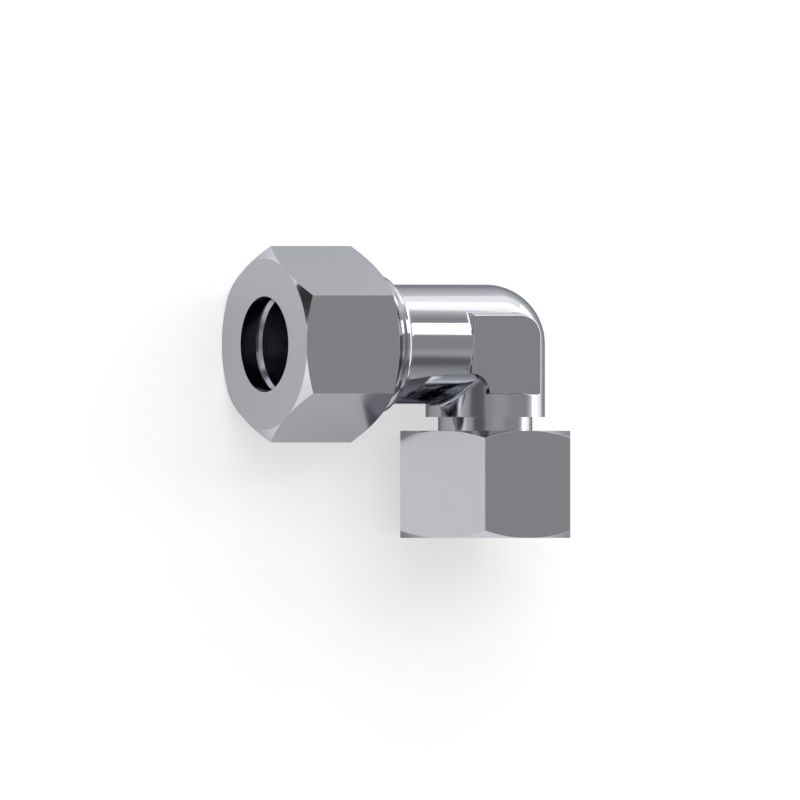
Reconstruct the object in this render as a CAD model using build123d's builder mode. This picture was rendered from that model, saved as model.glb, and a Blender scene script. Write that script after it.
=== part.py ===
from build123d import *
import os
from math import radians, sqrt, tan

# Compression elbow for metal tube of 15 mm outside diameter. One arm takes the
# tube in a 24 degree cone with a cutting ring and a union nut. The other arm
# ends in a standpipe that carries its own cutting ring and a swivel nut.
# The fitting lies on the flats of its nuts: X runs along the tube arm, Y along
# the standpipe, Z up. The origin is the middle of the footprint, on the floor.
# Each threaded surface is a plain cylinder at the root of its thread.

# Tube, and the passage that carries its bore on through the fitting
tube_diameter = 15.0
tube_wall = 1.5
tube_insertion = 7.0
tube_socket_clearance = 0.05
passage_overrun = 2.0
drill_point_angle = 118.0

# Cone that the ring is pressed into
cone_angle = 24.0
cone_flare = 1.15

# Union thread, M22 x 1.5
stud_wall = 2.35
thread_pitch = 1.5
thread_root_clearance = 0.05
male_depth_per_pitch = 0.6134
female_depth_per_pitch = 0.5413
stud_chamfer = 0.3

# Forged body
arm_wall = 3.5
arm_reach = 28.0
collar_distance = 18.5
collar_land = 0.5
collar_chamfer = 0.35
runout_length = 0.4
leg_reach = 11.55
standpipe_tail = 3.27
standpipe_outer_chamfer = 0.5
standpipe_inner_chamfer = 0.4
crotch_fillet = 0.65

# Wrench pads on both sides of the corner
pad_rise = 0.05
pad_inner_reach = 7.85
pad_outer_reach = 4.95
pad_corner_radius = 3.9
pad_bite_radius = 3.2
pad_depth = 4.6
pad_edge_radius = 0.45
pad_break_radius = 0.15
pad_foot_radius = 0.3

# Cutting rings
ring_length = 10.0
ring_wall = 1.625
ring_front_wall = 0.875
ring_bore_clearance = 0.075
ring_crimp = 0.35
ring_back_chamfer = 0.57
ring_edge_pitch = 1.9
ring_edge_land = 0.4
ring_edge_relief = 0.35
ring_seat_gap = 0.02

# Union nuts, 27 mm across flats
nut_wall = 2.5
nut_length = 17.0
nut_hole_clearance = 0.1
nut_hole_length = 2.83
nut_face_overlap = 0.08
nut_face_chamfer_angle = 30.0
nut_mouth_chamfer = 0.6
swivel_nut_gap = 2.185
cutter_margin = 1.0

# Edges are picked by size and place to within this
match_tolerance = 0.001

# Radii of the round surfaces, from the tube outward
tube_radius = tube_diameter / 2
passage_radius = tube_radius - tube_wall
arm_radius = passage_radius + arm_wall
tube_socket_radius = tube_radius + tube_socket_clearance
cone_mouth_radius = tube_radius + cone_flare
thread_radius = cone_mouth_radius + stud_wall
stud_radius = thread_radius - male_depth_per_pitch * thread_pitch
ring_bore_radius = tube_radius + ring_bore_clearance
ring_back_radius = ring_bore_radius + ring_back_chamfer
ring_outer_radius = ring_bore_radius + ring_wall
ring_front_radius = ring_bore_radius + ring_front_wall
nut_hole_radius = tube_radius + nut_hole_clearance
nut_throat_radius = thread_radius - female_depth_per_pitch * thread_pitch
nut_thread_radius = thread_radius + thread_root_clearance
nut_flat_distance = thread_radius + nut_wall
nut_face_radius = nut_flat_distance + nut_face_overlap
nut_corner_radius = 2 * nut_flat_distance / sqrt(3)

# How the rings and nuts stack up along each arm
cone_slope = tan(radians(cone_angle / 2))
cone_depth = (cone_mouth_radius - tube_socket_radius) / cone_slope
ring_entry = (cone_mouth_radius - ring_front_radius) / cone_slope - ring_seat_gap
tube_ring_distance = arm_reach - ring_entry + ring_length
nut_seat_depth = nut_hole_length + ring_back_radius - nut_hole_radius + ring_seat_gap
tube_nut_distance = tube_ring_distance + nut_seat_depth
swivel_nut_distance = leg_reach + swivel_nut_gap
swivel_nut_reach = swivel_nut_distance + nut_length
swivel_ring_distance = swivel_nut_distance + nut_seat_depth
standpipe_reach = swivel_ring_distance + ring_length + standpipe_tail

# The arms cross at one point, in the mirror plane of the fitting
crossing = Vector(
    (tube_nut_distance - nut_corner_radius) / 2,
    (swivel_nut_reach - nut_corner_radius) / 2,
    nut_flat_distance,
)
tube_arm = Plane(origin=crossing, x_dir=(-1, 0, 0), z_dir=(0, 0, 1))
pipe_arm = Plane(origin=crossing, x_dir=(0, -1, 0), z_dir=(0, 0, 1))


def arm_axis(section):
    """Axis of an arm, from a section plane that lies along it."""
    return Axis(section.origin, section.x_dir)


def section_at(arm, distance, direction):
    """Section plane at a distance along an arm. Its X runs outward for 1, inward for -1."""
    origin = arm.from_local_coords((distance, 0))
    return Plane(origin=origin, x_dir=arm.x_dir * direction, z_dir=(0, 0, 1))


def is_pad_foot(edge):
    """True for an arc where a wrench pad's end wall meets the round of an arm."""
    return abs(edge.radius - arm_radius) < match_tolerance and edge.length < arm_radius


def is_in_mitre(edge):
    """True for an edge in the plane that halves the angle between the arms."""
    middle = edge.center() - crossing
    return abs(middle.X - middle.Y) < match_tolerance


os.makedirs("parts", exist_ok=True)

# Where the steps of the forged body come along its arms
collar_fillet = thread_radius - arm_radius
collar_inner = collar_distance + collar_fillet
collar_outer = collar_inner + collar_land
runout_start = collar_outer + collar_chamfer
runout_end = runout_start + runout_length
drill_point_length = passage_radius / tan(radians(drill_point_angle / 2))

pad_width = pad_inner_reach + pad_outer_reach
pad_middle = (pad_outer_reach - pad_inner_reach) / 2
pad_base = Plane(
    origin=crossing + Vector(0, 0, arm_radius + pad_rise - pad_depth), x_dir=(1, 0, 0), z_dir=(0, 0, 1)
)
away_from_crotch = Axis((0, 0, 0), (1, 1, 0))
towards_top = Axis((0, 0, 0), (-1, 1, 0))

with BuildPart() as wrench_pad:
    with BuildSketch(pad_base) as pad_outline:
        with Locations((pad_middle, pad_middle)):
            Rectangle(pad_width, pad_width)
        fillet(pad_outline.vertices().sort_by(away_from_crotch)[-1], pad_corner_radius)
        with Locations((-pad_inner_reach, -pad_inner_reach)):
            Circle(pad_bite_radius, mode=Mode.SUBTRACT)
    extrude(amount=pad_depth)
    face_edges = wrench_pad.faces().sort_by(Axis.Z)[-1].edges()
    forged_edges = face_edges.sort_by(towards_top)[-2:] + face_edges.sort_by(away_from_crotch)[-1:]
    fillet(forged_edges, pad_edge_radius)
    face_edges = wrench_pad.faces().sort_by(Axis.Z)[-1].edges()
    fillet(face_edges.sort_by(towards_top)[:2], pad_break_radius)

with BuildPart() as elbow_body:
    # Tube arm, from the round corner of the elbow to the stud face
    with BuildSketch(tube_arm):
        with BuildLine():
            CenterArc((0, 0), arm_radius, 90, 90)
            Line((0, arm_radius), (collar_distance, arm_radius))
            CenterArc((collar_distance, thread_radius), collar_fillet, 270, 90)
            Polyline(
                (collar_inner, thread_radius),
                (collar_outer, thread_radius),
                (runout_start, thread_radius - collar_chamfer),
                (runout_end, thread_radius - collar_chamfer),
                (runout_end, stud_radius),
                (arm_reach - stud_chamfer, stud_radius),
                (arm_reach, stud_radius - stud_chamfer),
                (arm_reach, 0),
                (-arm_radius, 0),
            )
        make_face()
    revolve(axis=arm_axis(tube_arm))

    # Leg with the standpipe
    with BuildSketch(pipe_arm):
        with BuildLine():
            Polyline(
                (0, 0),
                (0, arm_radius),
                (leg_reach, arm_radius),
                (leg_reach, tube_radius),
                (standpipe_reach - standpipe_outer_chamfer, tube_radius),
                (standpipe_reach, tube_radius - standpipe_outer_chamfer),
                (standpipe_reach, 0),
                close=True,
            )
        make_face()
    revolve(axis=arm_axis(pipe_arm))

    # Wrench pads on both sides of the corner
    add(wrench_pad.part)
    mirror(wrench_pad.part, about=Plane(origin=crossing, z_dir=(0, 0, 1)))

    # Seam between the two arms in the crotch of the elbow, and the feet of the pads
    fillet(elbow_body.edges().filter_by(GeomType.ELLIPSE).filter_by(is_in_mitre), crotch_fillet)
    fillet(elbow_body.edges().filter_by(GeomType.CIRCLE).filter_by(is_pad_foot), pad_foot_radius)

    # Tube arm bored from the stud face: cone, tube socket with its stop, passage
    with BuildSketch(tube_arm):
        with BuildLine():
            Polyline(
                (arm_reach, 0),
                (arm_reach, cone_mouth_radius),
                (arm_reach - cone_depth, tube_socket_radius),
                (arm_reach - tube_insertion, tube_socket_radius),
                (arm_reach - tube_insertion, passage_radius),
                (-passage_overrun, passage_radius),
                (-passage_overrun - drill_point_length, 0),
                close=True,
            )
        make_face()
    revolve(axis=arm_axis(tube_arm), mode=Mode.SUBTRACT)

    # Leg bored from the end of the standpipe
    with BuildSketch(pipe_arm):
        with BuildLine():
            Polyline(
                (standpipe_reach, 0),
                (standpipe_reach, passage_radius + standpipe_inner_chamfer),
                (standpipe_reach - standpipe_inner_chamfer, passage_radius),
                (-passage_overrun, passage_radius),
                (-passage_overrun - drill_point_length, 0),
                close=True,
            )
        make_face()
    revolve(axis=arm_axis(pipe_arm), mode=Mode.SUBTRACT)

elbow_body.part.label = "elbow_body"
export_step(elbow_body.part, "parts/elbow_body.step")

# Cutting rings. X runs from the back edge, in the nut, to the cutting edge.
tube_ring_seat = section_at(tube_arm, tube_ring_distance, -1)
swivel_ring_seat = section_at(pipe_arm, swivel_ring_distance, 1)
ring_shoulder = ring_outer_radius - ring_back_radius
first_relief = ring_length - ring_edge_pitch
second_relief = ring_length - 2 * ring_edge_pitch

for name, seat, front_radius in (
    ("tube_cutting_ring", tube_ring_seat, ring_front_radius),
    ("swivel_cutting_ring", swivel_ring_seat, ring_front_radius - ring_crimp),
):
    taper_length = (ring_outer_radius - front_radius) / cone_slope
    with BuildPart() as cutting_ring:
        with BuildSketch(seat):
            with BuildLine():
                Polyline(
                    (0, ring_back_radius),
                    (ring_shoulder, ring_outer_radius),
                    (ring_length - taper_length, ring_outer_radius),
                    (ring_length, front_radius),
                    (ring_length, ring_bore_radius),
                    (ring_length - ring_edge_land, ring_bore_radius),
                    (first_relief, ring_bore_radius + ring_edge_relief),
                    (first_relief, ring_bore_radius),
                    (first_relief - ring_edge_land, ring_bore_radius),
                    (second_relief, ring_bore_radius + ring_edge_relief),
                    (second_relief, ring_bore_radius),
                    (ring_back_chamfer, ring_bore_radius),
                    close=True,
                )
            make_face()
        revolve(axis=arm_axis(seat))
    cutting_ring.part.label = name
    export_step(cutting_ring.part, f"parts/{name}.step")

# Union nuts. X runs from the face with the tube hole to the threaded mouth.
tube_nut_seat = section_at(tube_arm, tube_nut_distance, -1)
swivel_nut_seat = section_at(pipe_arm, swivel_nut_distance, 1)
cutter_radius = nut_corner_radius + cutter_margin
cutter_depth = (cutter_radius - nut_face_radius) * tan(radians(nut_face_chamfer_angle))
throat_end = nut_hole_length + nut_throat_radius - nut_hole_radius

for name, seat in (("tube_nut", tube_nut_seat), ("swivel_nut", swivel_nut_seat)):
    with BuildPart() as nut:
        # Hexagon with its flats up and down, chamfered at both ends
        with BuildSketch(Plane(origin=seat.origin, x_dir=seat.y_dir, z_dir=seat.x_dir)):
            RegularPolygon(nut_corner_radius, 6)
        extrude(amount=nut_length)
        with BuildSketch(seat):
            with BuildLine():
                Polyline(
                    (0, 0),
                    (0, nut_face_radius),
                    (cutter_depth, cutter_radius),
                    (nut_length - cutter_depth, cutter_radius),
                    (nut_length, nut_face_radius),
                    (nut_length, 0),
                    close=True,
                )
            make_face()
        revolve(axis=arm_axis(seat), mode=Mode.INTERSECT)

        # Tube hole, 90 degree seat for the ring, throat and thread
        with BuildSketch(seat):
            with BuildLine():
                Polyline(
                    (0, 0),
                    (0, nut_hole_radius),
                    (nut_hole_length, nut_hole_radius),
                    (throat_end, nut_throat_radius),
                    (throat_end, nut_thread_radius),
                    (nut_length - nut_mouth_chamfer, nut_thread_radius),
                    (nut_length, nut_thread_radius + nut_mouth_chamfer),
                    (nut_length, 0),
                    close=True,
                )
            make_face()
        revolve(axis=arm_axis(seat), mode=Mode.SUBTRACT)
    nut.part.label = name
    export_step(nut.part, f"parts/{name}.step")
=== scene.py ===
import math

import bpy
from mathutils import Matrix, Vector


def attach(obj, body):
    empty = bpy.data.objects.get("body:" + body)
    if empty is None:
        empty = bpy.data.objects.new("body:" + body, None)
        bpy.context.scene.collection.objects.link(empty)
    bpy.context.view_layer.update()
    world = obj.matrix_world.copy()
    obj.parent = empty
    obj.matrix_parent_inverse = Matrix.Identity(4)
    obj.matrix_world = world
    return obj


# Compression elbow, lying on the flats of its nuts on a white studio floor.
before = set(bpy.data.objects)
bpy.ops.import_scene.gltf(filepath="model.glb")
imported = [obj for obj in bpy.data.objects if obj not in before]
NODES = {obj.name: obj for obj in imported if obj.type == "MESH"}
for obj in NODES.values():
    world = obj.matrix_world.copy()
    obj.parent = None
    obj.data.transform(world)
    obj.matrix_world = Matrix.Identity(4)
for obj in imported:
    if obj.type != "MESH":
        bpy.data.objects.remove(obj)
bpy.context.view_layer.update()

# Where the arms cross, in metres, and which way they run from there
CROSSING = Vector((0.0124428, 0.0075733, 0.0135))
TUBE_ARM = Vector((-1, 0, 0))
PIPE_ARM = Vector((0, -1, 0))

# Picture axes of the photograph. The camera looks down on the fitting with +Y up in the
# picture, and sees the plane of both arms at 30 degrees from square.
PICTURE_TURN = math.radians(30)
RIGHT = Vector((math.cos(PICTURE_TURN), 0, math.sin(PICTURE_TURN)))
UP = Vector((0, 1, 0))
BACK = RIGHT.cross(UP)


class Nodes:
    """Short calls for building one node tree."""

    def __init__(self, tree):
        self.tree = tree
        tree.nodes.clear()

    def add(self, kind, inputs=None, **settings):
        node = self.tree.nodes.new(kind)
        for name, value in settings.items():
            setattr(node, name, value)
        for key, value in (inputs or {}).items():
            if isinstance(value, bpy.types.NodeSocket):
                self.tree.links.new(value, node.inputs[key])
            else:
                node.inputs[key].default_value = value
        return node

    def math(self, operation, a, b=0.0, c=0.0):
        node = self.add("ShaderNodeMath", {0: a, 1: b, 2: c}, operation=operation)
        return node.outputs[0]

    def ramp(self, value, low, high, out_low=0.0, out_high=1.0):
        """Smooth step of a value from low to high."""
        node = self.add(
            "ShaderNodeMapRange",
            {"Value": value, "From Min": low, "From Max": high, "To Min": out_low, "To Max": out_high},
            interpolation_type="SMOOTHSTEP",
        )
        return node.outputs["Result"]

    def noise(self, vector, scale, detail, roughness=0.5):
        inputs = {"Vector": vector, "Scale": scale, "Detail": detail, "Roughness": roughness}
        return self.add("ShaderNodeTexNoise", inputs).outputs[0]


# Materials. Every one is bright plated steel. What differs is how its surface was cut, and the nuts'
# chamfers and cones also carry a painted highlight.

STEEL_COLOUR = (0.455, 0.462, 0.49)
EDGE_TINT = (0.3, 0.3, 0.32, 1.0)
CLOUD_TINT = 0.015
# Painted highlight: how much lighter the base colour of a nut's chamfers and cones is
PAINTED_CHAMFER_HIGHLIGHT = 1.35
HEXAGON_INSIDE = (0.0122, 0.0128)
SOFT_EDGE = 0.00006
FINEST_HEIGHT = 0.000004


def plain(shade):
    """Steel colour at a shade."""
    return (*[shade * part for part in STEEL_COLOUR], 1.0)


def steel(name, axis, polish, ring_depth, grain_depth=0.0, shade=1.0):
    """Steel turned about an arm's axis. With a grain depth it is a nut: its flats keep the drawn
    bar's grain, and its chamfers and cones get a painted highlight, a lighter base colour."""
    material = bpy.data.materials.new(name)
    material.use_nodes = True
    n = Nodes(material.node_tree)
    place = n.add("ShaderNodeTexCoord").outputs["Object"]
    centred = n.add("ShaderNodeVectorMath", {0: place, 1: CROSSING}, operation="SUBTRACT").outputs[0]
    parts = n.add("ShaderNodeSeparateXYZ", {0: centred})
    along = parts.outputs["X" if axis == TUBE_ARM else "Y"]
    across = parts.outputs["Y" if axis == TUBE_ARM else "X"]
    squares = n.math("ADD", n.math("POWER", across, 2.0), n.math("POWER", parts.outputs["Z"], 2.0))
    out = n.math("SQRT", squares)

    # Tool rings: noise that changes only along the cut
    feed = n.add("ShaderNodeCombineXYZ", {0: n.math("ADD", out, along)})
    rings = n.math("MULTIPLY", n.noise(feed.outputs[0], 5200.0, 3.0), ring_depth)
    height = rings
    if grain_depth:
        stretched = n.math("MULTIPLY", along, 0.04)
        drawn = n.add("ShaderNodeCombineXYZ", {0: stretched, 1: across, 2: parts.outputs["Z"]})
        grain = n.math("MULTIPLY", n.noise(drawn.outputs[0], 4200.0, 4.0, 0.6), grain_depth)
        face = n.add("ShaderNodeSeparateXYZ", {0: n.add("ShaderNodeTexCoord").outputs["Normal"]})
        slant = n.math("ABSOLUTE", face.outputs["X" if axis == TUBE_ARM else "Y"])
        on_flat = n.math("MULTIPLY", n.ramp(slant, 0.12, 0.04), n.ramp(out, *HEXAGON_INSIDE))
        height = n.add("ShaderNodeMix", {0: on_flat, 2: rings, 3: grain}).outputs[0]

    clouds = n.noise(place, 210.0, 5.0, 0.62)
    specks = n.noise(place, 2600.0, 2.0)
    worn = n.add("ShaderNodeMix", {0: n.ramp(specks, 0.62, 0.75), 2: clouds, 3: 1.0}).outputs[0]
    rough = n.ramp(worn, 0.25, 0.9, polish * 0.88, polish * 1.2)
    dark, light = plain(shade * (1 - CLOUD_TINT)), plain(shade * (1 + CLOUD_TINT))
    colour = n.add("ShaderNodeMix", {0: clouds, 6: dark, 7: light}, data_type="RGBA").outputs[2]
    # The slant tells a nut's end faces, near 1, from its chamfers and cones, below 0.9, which get a
    # painted highlight
    if grain_depth:
        face_on = n.ramp(slant, 0.93, 0.98)
        turned = n.add("ShaderNodeMix", {0: face_on, 6: colour, 7: plain(shade)}, data_type="RGBA")
        # Painted highlight: the chamfers and cones get a lighter base colour
        painted_highlight_mask = n.math("MULTIPLY", n.ramp(slant, 0.12, 0.2), n.ramp(slant, 0.95, 0.9))
        chamfer_highlight_inputs = {0: painted_highlight_mask, 6: turned.outputs[2], 7: plain(shade * PAINTED_CHAMFER_HIGHLIGHT)}
        colour = n.add("ShaderNodeMix", chamfer_highlight_inputs, data_type="RGBA").outputs[2]

    softened = n.add("ShaderNodeBevel", {"Radius": SOFT_EDGE}, samples=4)
    bump = n.add(
        "ShaderNodeBump",
        {"Height": height, "Strength": 1.0, "Distance": FINEST_HEIGHT, "Normal": softened.outputs[0]},
    )
    shader = n.add(
        "ShaderNodeBsdfPrincipled",
        {
            "Base Color": colour, "Metallic": 1.0, "Roughness": rough,
            "Specular Tint": EDGE_TINT, "Normal": bump.outputs[0],
        },
    )
    n.add("ShaderNodeOutputMaterial", {"Surface": shader.outputs[0]})
    return material


BODY_STEEL = steel("body_steel", TUBE_ARM, 0.09, 0.08)
TUBE_NUT_STEEL = steel("tube_nut_steel", TUBE_ARM, 0.13, 0.15, grain_depth=0.12)
SWIVEL_NUT_STEEL = steel("swivel_nut_steel", PIPE_ARM, 0.13, 0.15, grain_depth=0.12)
TUBE_RING_STEEL = steel("tube_ring_steel", TUBE_ARM, 0.18, 0.25, shade=0.9)
SWIVEL_RING_STEEL = steel("swivel_ring_steel", PIPE_ARM, 0.18, 0.25, shade=0.9)

FINISHES = {
    "elbow_body": BODY_STEEL,
    "tube_nut": TUBE_NUT_STEEL,
    "swivel_nut": SWIVEL_NUT_STEEL,
    "tube_cutting_ring": TUBE_RING_STEEL,
    "swivel_cutting_ring": SWIVEL_RING_STEEL,
}


def shade_round(piece):
    """Round surfaces shade smoothly, and edges stay crisp."""
    piece.data.shade_smooth()
    piece.data.set_sharp_from_angle(angle=math.radians(25))
    weigh = piece.modifiers.new("face_weighted_normals", "WEIGHTED_NORMAL")
    weigh.keep_sharp = True
    weigh.weight = 100


for node_name, material in FINISHES.items():
    NODES[node_name].data.materials.clear()
    NODES[node_name].data.materials.append(material)
    shade_round(NODES[node_name])

# Threads, M22 x 1.5, right-handed. The solids are plain at the root of each thread, so a
# thread is one helical ridge that stands on that root.
PITCH = 0.0015
FLANK_SLOPE = math.tan(math.radians(30))
STEPS_PER_TURN = 90
FADE_STEPS = 20
SUNK = 0.00003


def thread(name, body, material, arm, start, end, root, crest, crest_width, phase=0.0):
    """Ridge from start to end along an arm, from the root radius to the crest radius. Both ends
    fade out, and the ridge's foot is sunk a little into the solid."""
    side = arm.orthogonal().normalized()
    other = arm.cross(side)
    base_width = crest_width + 2 * abs(crest - root) * FLANK_SLOPE
    turns = (end - start - base_width) / PITCH
    steps = round(turns * STEPS_PER_TURN)
    sunk_root = root - SUNK if crest > root else root + SUNK

    points = []
    for step in range(steps + 1):
        angle = math.tau * (step / STEPS_PER_TURN + phase)
        middle = start + base_width / 2 + PITCH * step / STEPS_PER_TURN
        outward = side * math.cos(angle) + other * math.sin(angle)
        fade = min(1.0, step / FADE_STEPS, (steps - step) / FADE_STEPS)
        top = root + (crest - root) * fade
        for offset, radius in (
            (-base_width / 2, sunk_root),
            (-base_width / 2 * (1 - fade) - crest_width / 2 * fade, top),
            (base_width / 2 * (1 - fade) + crest_width / 2 * fade, top),
            (base_width / 2, sunk_root),
        ):
            points.append(CROSSING + arm * (middle + offset) + outward * radius)

    faces = []
    for step in range(steps):
        for corner in range(4):
            a, b = 4 * step + corner, 4 * step + (corner + 1) % 4
            faces.append((a, b, b + 4, a + 4))
    faces.append((3, 2, 1, 0))
    faces.append(tuple(4 * steps + corner for corner in range(4)))
    if crest < root:
        faces = [face[::-1] for face in faces]

    mesh = bpy.data.meshes.new(name)
    mesh.from_pydata(points, [], faces)
    mesh.materials.append(material)
    ridge = bpy.data.objects.new(name, mesh)
    bpy.context.collection.objects.link(ridge)
    shade_round(ridge)
    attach(ridge, body)


# Radii and distances from the crossing, in metres
STUD_ROOT = 0.01008
STUD_CREST = 0.01097
NUT_ROOT = 0.01105
NUT_CREST = 0.01019
RIDGE_CREST = PITCH / 8 - 0.00003
GROOVE_CREST = PITCH / 4 - 0.00003
STUD_START = 0.02125
STUD_END = 0.0278

# Part of a turn that puts the tube nut's ridge midway between two turns of the stud's
IN_STUD_GROOVE = 0.4307

thread(
    "stud_thread", "elbow", BODY_STEEL, TUBE_ARM, STUD_START, STUD_END,
    STUD_ROOT, STUD_CREST, RIDGE_CREST,
)
thread(
    "tube_nut_thread", "tube_nut", TUBE_NUT_STEEL, TUBE_ARM, 0.02407, 0.03505,
    NUT_ROOT, NUT_CREST, GROOVE_CREST, phase=IN_STUD_GROOVE,
)
thread(
    "swivel_nut_thread", "swivel_nut", SWIVEL_NUT_STEEL, PIPE_ARM, 0.01916, 0.03013,
    NUT_ROOT, NUT_CREST, GROOVE_CREST,
)

# Studio floor. Half of what it shows is plain white. The other half is lit and keeps the shadow.

floor_mesh = bpy.data.meshes.new("floor")
floor_mesh.from_pydata([(-4, -4, 0), (4, -4, 0), (4, 4, 0), (-4, 4, 0)], [], [(0, 1, 2, 3)])
floor = bpy.data.objects.new("floor", floor_mesh)
floor.location.z = -0.00002
bpy.context.collection.objects.link(floor)
paper = bpy.data.materials.new("white_paper")
paper.use_nodes = True
n = Nodes(paper.node_tree)
matt = n.add("ShaderNodeBsdfDiffuse", {"Color": (0.92, 0.92, 0.92, 1.0)})
white = n.add("ShaderNodeEmission", {"Strength": 1.0})
ray = n.add("ShaderNodeLightPath")
seen = n.math("MAXIMUM", ray.outputs["Is Camera Ray"], ray.outputs["Is Glossy Ray"])
half_white = n.math("MULTIPLY", seen, 0.5)
paper_mix = n.add("ShaderNodeMixShader", {0: half_white, 1: matt.outputs[0], 2: white.outputs[0]})
n.add("ShaderNodeOutputMaterial", {"Surface": paper_mix.outputs[0]})
floor_mesh.materials.append(paper)

# Room: bright walls, brighter on the right and at the top of the picture, under a grey ceiling
# with one soft lamp, a dark beam and the dark outfit beside the camera
world = bpy.data.worlds.new("studio")
bpy.context.scene.world = world
world.use_nodes = True
n = Nodes(world.node_tree)
direction = n.add("ShaderNodeTexCoord").outputs["Generated"]
look = n.add("ShaderNodeSeparateXYZ", {0: direction})
east, north, up = look.outputs["X"], look.outputs["Y"], look.outputs["Z"]
wall = n.math("ADD", n.ramp(east, 0.6, 0.95, 1.05, 2.2), n.ramp(north, 0.3, 0.75, 0.0, 0.85))
room = n.ramp(up, 0.1, 0.6, wall, 0.57)
overhead = n.ramp(n.math("ABSOLUTE", east), 0.1, 0.45, 0.15, 0.0)
lamp = n.ramp(n.math("ABSOLUTE", n.math("ADD", north, 0.24)), 0.02, 0.15, 0.2, 0.0)
on_ceiling = n.ramp(up, 0.5, 0.7)
room = n.math("ADD", room, n.math("MULTIPLY", n.math("ADD", overhead, lamp), on_ceiling))
beam = n.ramp(n.math("ABSOLUTE", n.math("ADD", north, 0.48)), 0.03, 0.2, 0.45, 1.0)
to_outfit = {0: direction, 1: (-0.71, 0.0, 0.704)}
beside_camera = n.add("ShaderNodeVectorMath", to_outfit, operation="DOT_PRODUCT")
outfit = n.ramp(beside_camera.outputs["Value"], 0.95, 0.995, 1.0, 0.42)
room = n.math("MULTIPLY", room, n.math("MULTIPLY", beam, outfit))
glow = n.add("ShaderNodeBackground", {"Strength": room})
n.add("ShaderNodeOutputWorld", {"Surface": glow.outputs[0]})

ALONG_X = Vector((1, 0, 0))
ALONG_Y = Vector((0, 1, 0))


def facing(place, across):
    """Stands something at a place, turned to face the part, with its width along a direction."""
    aim = (place - CROSSING).normalized()
    x = (across - aim * across.dot(aim)).normalized()
    return Matrix.Translation(place) @ Matrix((x, aim.cross(x), aim)).transposed().to_4x4()


def softbox(name, place, across, width, height, level):
    """Diffuser panel. Level is the brightness that it adds to what lies behind it."""
    light = bpy.data.lights.new(name, "AREA")
    light.shape = "RECTANGLE"
    light.size = width
    light.size_y = height
    light.energy = level * math.pi * width * height
    holder = bpy.data.objects.new(name, light)
    holder.matrix_world = facing(Vector(place), across)
    holder.visible_camera = False
    bpy.context.collection.objects.link(holder)
    return holder


def black_card(name, place, across, width, height):
    """Matt black card outside the picture, seen only in reflections."""
    material = bpy.data.materials.new(name)
    material.use_nodes = True
    n = Nodes(material.node_tree)
    cloth = n.add("ShaderNodeBsdfDiffuse", {"Color": (0.03, 0.03, 0.03, 1.0)})
    n.add("ShaderNodeOutputMaterial", {"Surface": cloth.outputs[0]})
    mesh = bpy.data.meshes.new(name)
    x, y = width / 2, height / 2
    mesh.from_pydata([(-x, -y, 0), (x, -y, 0), (x, y, 0), (-x, y, 0)], [], [(0, 1, 2, 3)])
    mesh.materials.append(material)
    holder = bpy.data.objects.new(name, mesh)
    holder.matrix_world = facing(Vector(place), across)
    holder.visible_camera = False
    holder.visible_diffuse = False
    holder.visible_shadow = False
    bpy.context.collection.objects.link(holder)


# Places and sizes in metres. The smallest softboxes and the card stand just outside the picture.
softbox("key_softbox", (-0.2, 0.6, 0.72), ALONG_X, 1.1, 0.7, 1.8)
softbox("strip_softbox", CROSSING + Vector((0.5, 0.433, 0.75)) * 0.8, ALONG_X, 0.5, 0.28, 2.2)
softbox("top_softbox", (0.045, 0.066, 0.021), ALONG_X, 0.14, 0.042, 0.75)
softbox("right_softbox", (0.082, 0.01, 0.022), ALONG_Y, 0.12, 0.042, 1.2)
softbox("left_softbox", (-0.25, -0.02, 0.036), ALONG_Y, 0.16, 0.07, 0.25)
floor_light = softbox("floor_light", (-0.5, 0.0, 0.9), ALONG_Y, 0.8, 0.8, 1.4)
floor_light.visible_glossy = False
black_card("left_card", (-0.09, 0.036, 0.0125), ALONG_Y, 0.08, 0.024)

# Camera at the photograph's angle, with no perspective
PIXELS_PER_METRE = 6300
camera = bpy.data.cameras.new("camera")
camera.type = "ORTHO"
camera.ortho_scale = 800 / PIXELS_PER_METRE
aim = CROSSING - RIGHT * 0.013535 - UP * 0.008849
holder = bpy.data.objects.new("camera", camera)
turn = Matrix((RIGHT, UP, BACK)).transposed().to_4x4()
holder.matrix_world = Matrix.Translation(aim + BACK) @ turn
bpy.context.collection.objects.link(holder)
bpy.context.scene.camera = holder
bpy.context.scene.view_settings.view_transform = "Standard"
